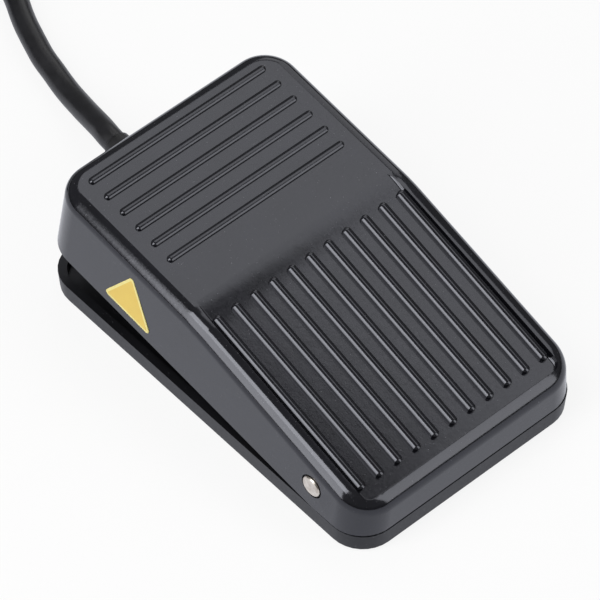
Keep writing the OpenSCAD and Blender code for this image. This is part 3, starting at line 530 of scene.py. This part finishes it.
rib_y = TREAD_FRONT + 4.1
rib_x = 0.08 - (LONG_RIBS - 1) // 2 * LONG_PITCH
first = grip_rib("tread_ribs", (1.8 - rib_y) / math.cos(math.radians(TREAD_FALL)), 2.0, 1.18)
turn_about(first, (0, 0, 0), "X", TREAD_FALL)
first.data.transform(Matrix.Translation((rib_x * MM, rib_y * MM, tread_at(rib_y) * MM)))
ribs = [first] + [copy_of(first, (i * LONG_PITCH * MM, 0, 0)) for i in range(1, LONG_RIBS)]

bar = grip_rib("deck_ribs", BAR_LENGTH, 1.7, 0.65, "X")
bar.data.transform(Matrix.Translation((-BAR_LENGTH / 2 * MM, (REAR - 5.95) * MM, DECK * MM)))
ribs += [bar] + [copy_of(bar, (0, -BAR_PITCH * i * MM, 0)) for i in range(1, DECK_BARS)]


def beam(name, low, high, heights=(), edge=0.2):
    """A straight moulded beam; heights lowers or lifts its two faces at places along Y."""
    rest_hands()
    low, high = Vector(low) * MM, Vector(high) * MM
    bpy.ops.mesh.primitive_cube_add(size=1, location=(low + high) / 2, scale=high - low)
    piece = begin(name)
    for y in [h[0] for h in heights[1:-1]]:
        cut_across((0, y * MM, 0), (0, 1, 0))
    for y, bottom, top in heights:
        for want, level in ((bottom, low.z), (top, high.z)):
            pick("VERT", lambda v: abs(v.co.y - y * MM) < 1e-5 and abs(v.co.z - level) < 1e-5)
            shift(z=want * MM - level)
    if edge:
        pick("EDGE", lambda e: e.calc_face_angle(0) > 1.2)
        bpy.ops.mesh.bevel(offset=edge * MM, segments=2, affect="EDGES")
    rest_hands()
    return piece


inside = []
for x in (-21.1, 19.7):
    spots = [-28.0, RAMP_TOP, 46.8]
    inside.append(beam("stiffener", (x, spots[0], 10), (x + 1.4, spots[-1], 30),
                       [(y, ceiling_at(y) - 2.6, ceiling_at(y) + 0.9) for y in spots]))
for y in (-16.0, 31.0):
    inside.append(beam("stiffener", (-29.6, y, ceiling_at(y) - 2.2),
                       (29.6, y + 1.4, ceiling_at(y) + 0.4)))
pusher = beam("pusher", (6.5, 13.2, 22.18 - 1.5), (9.5, 16.2, 23.6), edge=0)
open_up(pusher)
pick("EDGE", lambda e: middle(e).z < 21 * MM and abs(e.verts[0].co.x - e.verts[1].co.x) < 1e-6)
bpy.ops.mesh.bevel(offset=1.45 * MM, segments=6, affect="EDGES")
rest_hands()
inside.append(pusher)

# the spring's seat, square to the spring when the cover is lifted
SPRING_Y = -4.0
SPRING_TOP = 22.21
rest_hands()
bpy.ops.mesh.primitive_cylinder_add(vertices=40, radius=3.4 * MM, depth=4.4 * MM,
                                    location=(0, SPRING_Y * MM, (SPRING_TOP + 0.2) * MM))
seat = begin("spring_seat")
cut_across((0, 0, SPRING_TOP * MM), (0, 0, 1))
pick("VERT", lambda v: v.co.z > (SPRING_TOP - 0.1) * MM)
bpy.ops.transform.resize(value=(6 / 3.4, 6 / 3.4, 1), center_override=(0, SPRING_Y * MM, 0))
pick("EDGE", lambda e: e.calc_face_angle(0) > 1.2 and middle(e).z < SPRING_TOP * MM)
bpy.ops.mesh.bevel(offset=0.4 * MM, segments=3, affect="EDGES")
rest_hands()
turn_about(seat, PIN, "X", -LIFT)
inside.append(seat)

cover = join([cover] + ribs + inside, "pedal_cover_moulding")
turn_about(cover, PIN, "X", LIFT)
open_up(cover)
cut_across((0, 0, (SEAM - 0.08) * MM), (0, 0, 1), use_fill=True, clear_inner=True)
# the front wall's foot comes out flush with the tray under it
pick("VERT", lambda v: v.co.z < (SEAM - 0.07) * MM)
bpy.ops.transform.resize(value=(1.0042, 1.0046, 1), center_override=(0, 0, 0))
smooth_flats(cover)
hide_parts("pedal_cover")
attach(cover, "pedal")


# ---------------------------------------------------------------- materials
def colour(hex_code):
    """An sRGB hex value as linear light."""
    parts = [int(hex_code[i:i + 2], 16) / 255 for i in (1, 3, 5)]
    return [p / 12.92 if p <= 0.04045 else ((p + 0.055) / 1.055) ** 2.4 for p in parts] + [1.0]


def add(tree, kind, inputs=None, **settings):
    """Adds one node with its settings; an input is a value or another node's output."""
    node = tree.nodes.new("ShaderNode" + kind)
    for name, value in settings.items():
        setattr(node, name, value)
    for name, value in (inputs or {}).items():
        if isinstance(value, bpy.types.NodeSocket):
            tree.links.new(value, node.inputs[name])
        else:
            node.inputs[name].default_value = value
    return node


def ramp(tree, factor, stops):
    node = add(tree, "ValToRGB", {"Fac": factor})
    band = node.color_ramp
    while len(band.elements) < len(stops):
        band.elements.new(0.5)
    for element, (place, shade) in zip(band.elements, stops):
        element.position = place
        element.color = shade if isinstance(shade, list) else [shade, shade, shade, 1]
    return node.outputs["Color"]


def surface(name, metallic=0.0, ior=1.5, **values):
    """A new material: its node tree, its shader, and the object coordinates in millimetres."""
    material = bpy.data.materials.new(name)
    material.use_nodes = True
    tree = material.node_tree
    tree.nodes.clear()
    shader = add(tree, "BsdfPrincipled", {"Metallic": metallic, "IOR": ior, **values})
    add(tree, "OutputMaterial", {"Surface": shader.outputs["BSDF"]})
    place = add(tree, "TexCoord").outputs["Object"]
    mm = add(tree, "VectorMath", {0: place, "Scale": 1000.0}, operation="SCALE").outputs["Vector"]
    return material, tree, shader, mm


def bump(tree, shader, height, depth_mm, before=None):
    """Relief of a real depth: the height runs from 0 to 1 over depth_mm."""
    inputs = {"Height": height, "Strength": 1.0, "Distance": depth_mm * MM}
    if before is not None:
        inputs["Normal"] = before
    node = add(tree, "Bump", inputs)
    tree.links.new(node.outputs["Normal"], shader.inputs["Normal"])
    return node.outputs["Normal"]


def noise(tree, mm, size_mm, detail=2.0, roughness=0.5, stretch=None):
    """Cloudy noise whose patches are about size_mm across; stretch draws it out along an axis."""
    place = mm
    if stretch is not None:
        place = add(tree, "VectorMath", {0: mm, 1: stretch}, operation="MULTIPLY").outputs["Vector"]
    return add(tree, "TexNoise", {"Vector": place, "Scale": 0.7 / size_mm, "Detail": detail,
                                  "Roughness": roughness}).outputs["Fac"]


def spread(tree, value, low, high, out_low, out_high):
    node = add(tree, "MapRange", {"Value": value, "From Min": low, "From Max": high,
                                  "To Min": out_low, "To Max": out_high})
    return node.outputs["Result"]


def moulded_plastic(name, shade, worn, roughness, peel_mm=0.012, ior=1.54, specks=0.0,
                    gloss=0.5):
    """Moulded thermoplastic: faint orange peel from the steel, flow mottle, tiny scuffs."""
    material, tree, shader, mm = surface(name, ior=ior)
    shader.inputs["Specular IOR Level"].default_value = gloss
    shader.inputs["Specular Tint"].default_value = colour("#eaecf6")
    mottle = noise(tree, mm, 8, 3)
    scuffs = noise(tree, mm, 0.5, 5, 0.7)
    base = ramp(tree, mottle, [(0.3, colour(shade)), (0.72, colour(worn))])
    if specks:
        # dust and pits a few tenths of a millimetre across
        dust = noise(tree, mm, 0.28, 1)
        fleck = ramp(tree, dust, [(0.74, 0.0), (0.77, specks)])
        base = add(tree, "MixRGB", {"Fac": fleck, "Color1": base, "Color2": colour("#6d6e72")}
                   ).outputs["Color"]
    tree.links.new(base, shader.inputs["Base Color"])
    tree.links.new(spread(tree, scuffs, 0.35, 0.75, roughness - 0.03, roughness + 0.05),
                   shader.inputs["Roughness"])
    normal = bump(tree, shader, noise(tree, mm, 1.6, 2), peel_mm)
    bump(tree, shader, noise(tree, mm, 0.3, 2), 0.004, normal)
    return material


def soft_rubber(name, shade, dusty, roughness, grain_mm=0.35):
    """Soft PVC or rubber: a dull skin with fine grain and a little dust."""
    material, tree, shader, mm = surface(name, ior=1.51)
    dust = noise(tree, mm, 2.5, 5, 0.65)
    tree.links.new(ramp(tree, dust, [(0.35, colour(shade)), (0.8, colour(dusty))]),
                   shader.inputs["Base Color"])
    tree.links.new(spread(tree, dust, 0.3, 0.8, roughness - 0.05, roughness + 0.08),
                   shader.inputs["Roughness"])
    bump(tree, shader, noise(tree, mm, grain_mm, 3), 0.01)
    return material


def worked_metal(name, bright, dull, roughness, stretch, depth_mm=0.002, patch_mm=3.0):
    """Metal with the marks of how it was worked drawn along one way, and a light tarnish."""
    material, tree, shader, mm = surface(name, metallic=1.0)
    tarnish = noise(tree, mm, patch_mm, 4, 0.6)
    marks = noise(tree, mm, 0.12, 3, 0.6, stretch)
    tree.links.new(ramp(tree, tarnish, [(0.35, colour(bright)), (0.75, colour(dull))]),
                   shader.inputs["Base Color"])
    tree.links.new(spread(tree, marks, 0.3, 0.7, roughness - 0.05, roughness + 0.07),
                   shader.inputs["Roughness"])
    bump(tree, shader, marks, depth_mm)
    return material


COVER_ABS = moulded_plastic("moulded_abs_gloss_black", "#0c0c0f", "#121217", 0.14, 0.008,
                            specks=0.4, gloss=0.62)
TRAY_ABS = moulded_plastic("moulded_abs_black_tray", "#0a0a0c", "#0f0f12", 0.42, 0.02, specks=0.4,
                           gloss=0.33)
# glass-filled polyester of the switch: a duller skin
CASE_PBT = moulded_plastic("moulded_pbt_switch_case", "#1a1b1e", "#232428", 0.42, 0.008)
LID_PBT = moulded_plastic("moulded_pbt_switch_lid", "#26272b", "#303136", 0.4, 0.008)
PLUNGER_PBT = moulded_plastic("moulded_pbt_red", "#a32a1c", "#8c2216", 0.34, 0.004)
CLAMP_NYLON = moulded_plastic("moulded_nylon_clamp", "#17181a", "#202124", 0.45, 0.01, 1.53)
TIE_NYLON = moulded_plastic("moulded_nylon_tie", "#101112", "#191a1c", 0.42, 0.01, 1.53)
FOOT_RUBBER = soft_rubber("moulded_rubber_matt", "#17171a", "#333336", 0.78)
RELIEF_PVC = soft_rubber("moulded_soft_pvc_black", "#0d0d0f", "#19191c", 0.42)
# extruded jackets and core insulation: smooth, a soft sheen
JACKET_PVC = soft_rubber("extruded_pvc_jacket", "#111114", "#1b1b1f", 0.36, 0.6)
CORE_PVC = {name: soft_rubber("extruded_pvc_" + name, shade, dusty, 0.36, 0.5)
            for name, shade, dusty in (("brown", "#5a3319", "#6b4226"),
                                       ("blue", "#1f5aa6", "#3c70b0"),
                                       ("black", "#101012", "#1c1c1f"))}
SLEEVE_PVC = soft_rubber("moulded_clear_pvc_sleeve", "#cbc7b8", "#bdb8a6", 0.3, 0.5)
# nickel on turned steel: warm, bright, with rings round the pin's line
PIN_NICKEL = worked_metal("nickel_plated_turned_steel", "#e2dbd1", "#b7aca0", 0.3, (6, 0.6, 0.6),
                          patch_mm=1.1)
RING_STEEL = worked_metal("phosphated_spring_steel", "#4c4e50", "#38393b", 0.45, (1, 1, 1))
SPRING_WIRE = worked_metal("drawn_spring_wire", "#a4a6a8", "#85878a", 0.28, (1, 1, 1), 0.001)
SHEET_ZINC = worked_metal("zinc_plated_sheet_steel", "#b9bdbf", "#9fa39f", 0.34, (0.5, 1, 1))
SCREW_ZINC = worked_metal("zinc_plated_screw_steel", "#b4b7b8", "#979a98", 0.3, (1, 1, 1))
LEVER_STEEL = worked_metal("rolled_stainless_strip", "#c6c5c1", "#adaba6", 0.24, (0.12, 1, 1))
TAB_BRASS = worked_metal("stamped_brass_sheet", "#cfa64f", "#a88238", 0.3, (0.2, 1, 1))
BRONZE = worked_metal("rolled_phosphor_bronze", "#c8935a", "#a67341", 0.3, (0.2, 1, 1))
TINNED = worked_metal("tinned_copper_strand", "#c9cac6", "#a9a9a3", 0.35, (1, 1, 1), 0.02)


def printed_vinyl():
    """Plain amber vinyl under a clear film: even ink, the film's faint ripple, a clean gloss."""
    material, tree, shader, mm = surface("printed_amber_vinyl", ior=1.5)
    ink = noise(tree, mm, 4, 3)
    tree.links.new(ramp(tree, ink, [(0.3, colour("#dcbd50")), (0.7, colour("#d6b548"))]),
                   shader.inputs["Base Color"])
    shader.inputs["Roughness"].default_value = 0.34
    bump(tree, shader, noise(tree, mm, 1.2, 2), 0.006)
    return material


STICKER_VINYL = printed_vinyl()
STICKER_RIM = soft_rubber("cut_vinyl_rim", "#e6d98a", "#dfd07c", 0.4, 0.6)


def paint(piece, material):
    piece.data.materials.clear()
    piece.data.materials.append(material)


paint(cover, COVER_ABS)
bodies = frame["record"]["behaviour"]["bodies"]
body_of = {node: body for body, nodes in bodies.items() for node in nodes}


def refined(node, material, edge, angle=30):
    """A finer copy of a CAD piece: whole flats, broken edges, smooth rounds."""
    rest_hands()
    piece = frame["nodes"][node].copy()
    piece.data = piece.data.copy()
    piece.parent = None
    piece.matrix_world = Matrix.Identity(4)
    bpy.context.scene.collection.objects.link(piece)
    piece.name = piece.data.name = node + "_finished"
    open_up(piece)
    bpy.ops.mesh.select_all(action="SELECT")
    bpy.ops.mesh.remove_doubles(threshold=0.002 * MM)
    bpy.ops.mesh.dissolve_limited(angle_limit=math.radians(0.6))
    rest_hands()
    if edge:
        broken = piece.modifiers.new("broken_edges", "BEVEL")
        broken.width = edge * MM
        broken.segments = 2
        broken.limit_method = "ANGLE"
        broken.angle_limit = math.radians(angle)
        apply_all(piece)
    smooth_flats(piece, angle)
    paint(piece, material)
    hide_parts(node)
    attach(piece, body_of[node])
    return piece


refined("base_tray", TRAY_ABS, edge=0.06)
refined("rubber_feet", FOOT_RUBBER, edge=0.2)
pin = refined("hinge_pin", PIN_NICKEL, edge=0.25)
open_up(pin)
for side in (-1, 1):
    pick("VERT", lambda v: v.co.x * side > pin_high.x - 0.6 * MM)
    shift(x=side * (PIN_END * MM - pin_high.x))
rest_hands()
refined("pin_rings", RING_STEEL, edge=0.08)
refined("switch_bracket", SHEET_ZINC, edge=0.12)
refined("bracket_screws", SCREW_ZINC, edge=0.08)
refined("switch_case", CASE_PBT, edge=0.18)
refined("switch_lid", LID_PBT, edge=0.18)
refined("switch_screws", SCREW_ZINC, edge=0.15)
refined("switch_nuts", SCREW_ZINC, edge=0.2)
refined("switch_plunger", PLUNGER_PBT, edge=0.05)
refined("switch_lever", LEVER_STEEL, edge=0.06)
refined("lever_pin", PIN_NICKEL, edge=0.1)
for node in ("terminal_common", "terminal_closed", "terminal_open"):
    refined(node, TAB_BRASS, edge=0.08)
refined("contact_arm", BRONZE, edge=0.05)
refined("terminal_sleeves", SLEEVE_PVC, edge=0.35)
refined("cable_clamp", CLAMP_NYLON, edge=0.3)
refined("clamp_screws", SCREW_ZINC, edge=0.15)
tie = refined("coil_tie", TIE_NYLON, edge=0.2)


# ---------------------------------------------------------------- sticker
# its pale rim is the strip that the cutter leaves round the ink
sticker = refined("side_sticker", STICKER_VINYL, edge=0)
sticker.data.materials.append(STICKER_RIM)
open_up(sticker)
pick("FACE", lambda f: f.normal.x < -0.9)
bpy.ops.mesh.select_all(action="INVERT")
sticker.active_material_index = 1
bpy.ops.object.material_slot_assign()
bpy.ops.mesh.select_all(action="INVERT")
bpy.ops.mesh.inset(thickness=0.6 * MM, depth=0)
bpy.ops.mesh.select_all(action="INVERT")
bpy.ops.object.material_slot_assign()
rest_hands()


# ---------------------------------------------------------------- springs
def wire_mesh(wire):
    """Makes the wire's curve a mesh."""
    take(wire)
    bpy.ops.object.convert(target="MESH")
    wire.data.name = wire.name
    return wire


def wound_spring(name, centre, radius, wire, low, high, turns):
    """A compression spring of round wire; its first and last turns lie flat."""
    steps = 28
    points = []
    for i in range(turns * steps + 1):
        t = i / steps
        if t < 1:
            z = low + wire * 0.9 * t
        elif t > turns - 1:
            z = high - wire * 0.9 * (turns - t)
        else:
            z = low + wire * 0.9 + (high - low - 1.8 * wire) * (t - 1) / (turns - 2)
        a = 2 * PI * t
        points.append(Vector((centre.x + radius * math.cos(a), centre.y + radius * math.sin(a), z)))
    return wire_mesh(soft_wire(name, points, wire, 4))


spring_low, spring_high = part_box("return_spring")
WIRE = 1.0 * MM
spring = wound_spring("return_spring_wire", (spring_low + spring_high) / 2,
                      (spring_high.x - spring_low.x - WIRE) / 2, WIRE, spring_low.z + WIRE / 2,
                      spring_high.z - WIRE / 2, 8)
paint(spring, SPRING_WIRE)
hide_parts("return_spring")
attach(spring, "base")
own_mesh(spring)

strip = refined("snap_spring", BRONZE, edge=0.03)
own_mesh(strip)


# ---------------------------------------------------------------- cord, its ends and its relief
for core, core_colour in (("core_common", "brown"), ("core_closed", "blue"),
                          ("core_open", "black")):
    refined(core, CORE_PVC[core_colour], edge=0)

paint(cord, JACKET_PVC)
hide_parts("cable", "cable_coil", "cable_tail")
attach(cord, "base")

inner_low, inner_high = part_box("cable_inner")
inner_line = [Vector((0, inner_low.y + i * (GLAND.y - inner_low.y) / 12, GLAND.z))
              for i in range(13)]
inner = soft_wire("cord_inside", inner_line, CORD_D, 7)
paint(inner, JACKET_PVC)
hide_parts("cable_inner")
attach(inner, "base")

for piece, name in zip(tail_cores, ("brown", "blue", "black")):
    paint(piece, CORE_PVC[name])
for piece in tinned_ends:
    paint(piece, TINNED)
for pieces, node in ((tail_cores, "tail_cores"), (tinned_ends, "tinned_ends")):
    for piece in pieces:
        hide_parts(node)
        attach(piece, "base")

relief = refined("strain_relief", RELIEF_PVC, edge=0.15)


# ---------------------------------------------------------------- floor and light
rest_hands()
bpy.ops.mesh.primitive_plane_add(size=6, location=(0, 0, 0))
floor = bpy.context.active_object
floor.name = "floor"
white, tree, shader, mm = surface("matt_white_floor", Roughness=0.9)
shader.inputs["Base Color"].default_value = colour("#e2e2e2")
# white to the eye and in the gloss, and a pale card to the light; in the gloss it glows brightest
# near the switch and dimmer further out, a painted pool of light
ray = add(tree, "LightPath")
mirrored = add(tree, "Math", {0: ray.outputs["Is Glossy Ray"],
                              1: ray.outputs["Is Transmission Ray"]}, operation="MAXIMUM")
seen = add(tree, "Math", {0: ray.outputs["Is Camera Ray"], 1: 0.86}, operation="MULTIPLY")
# painted pool of light: the glow seen in reflections falls from 0.95 within 220 mm of the switch to
# 0.25 beyond 480 mm
reach = add(tree, "VectorMath", {0: mm}, operation="LENGTH").outputs["Value"]
painted_glow_falloff = add(tree, "MapRange", {"Value": reach, "From Min": 220, "From Max": 480,
                              "To Min": 0.95, "To Max": 0.25}).outputs["Result"]
share = add(tree, "Math", {0: mirrored.outputs[0], 1: painted_glow_falloff, 2: seen.outputs[0]},
            operation="MULTIPLY_ADD")
tint = add(tree, "MixRGB", {"Fac": mirrored.outputs[0], "Color1": [1, 1, 1, 1],
                            "Color2": colour("#f0f2fa")})
glow = add(tree, "Emission", {"Color": tint.outputs["Color"], "Strength": 1.0})
mix = add(tree, "MixShader", {0: share.outputs[0], 1: shader.outputs["BSDF"], 2: glow.outputs[0]})
out = next(n for n in tree.nodes if n.bl_idname == "ShaderNodeOutputMaterial")
tree.links.new(mix.outputs[0], out.inputs["Surface"])
paint(floor, white)

# the room: dim, and dimmer still at the floor's edge
world = bpy.data.worlds.new("studio")
bpy.context.scene.world = world
world.use_nodes = True
tree = world.node_tree
tree.nodes.clear()
ray = add(tree, "LightPath")
way = add(tree, "TexCoord").outputs["Generated"]
rise = add(tree, "SeparateXYZ", {"Vector": way}).outputs["Z"]
room = spread(tree, rise, 0.02, 0.3, 0.03, 0.2)
strength = add(tree, "MapRange", {"Value": ray.outputs["Is Camera Ray"], "To Min": room,
                                  "To Max": 1.0})
sky = add(tree, "Background", {"Color": [1, 1, 1, 1], "Strength": strength.outputs["Result"]})
add(tree, "OutputWorld", {"Surface": sky.outputs[0]})


LAMP_TARGET = Vector((0, 0, 0.01))


def softbox(name, way, away, size, radiance):
    """A soft lamp that faces the switch; power follows from size and how bright it looks."""
    data = bpy.data.lights.new(name, "AREA")
    data.shape = "RECTANGLE"
    data.size, data.size_y = size
    data.energy = radiance * PI * size[0] * size[1]
    lamp = bpy.data.objects.new(name, data)
    lamp.location = Vector(way).normalized() * away
    lamp.rotation_euler = (LAMP_TARGET - lamp.location).to_track_quat("-Z", "Y").to_euler()
    bpy.context.scene.collection.objects.link(lamp)


softbox("overhead_left", (-0.42, 0.03, 0.91), 1.0, (0.5, 0.44), 6.2)
softbox("left", (-0.86, 0.15, 0.50), 1.0, (0.46, 0.9), 4.3)
softbox("front", (0.42, -0.74, 0.54), 1.0, (0.5, 0.9), 2.6)
softbox("overhead_right", (0.44, 0.185, 0.88), 0.8, (0.8, 0.24), 1.6)
softbox("rear_right", (0.70, 0.46, 0.55), 0.8, (0.34, 0.34), 1.15)

bpy.context.scene.view_settings.view_transform = "Standard"
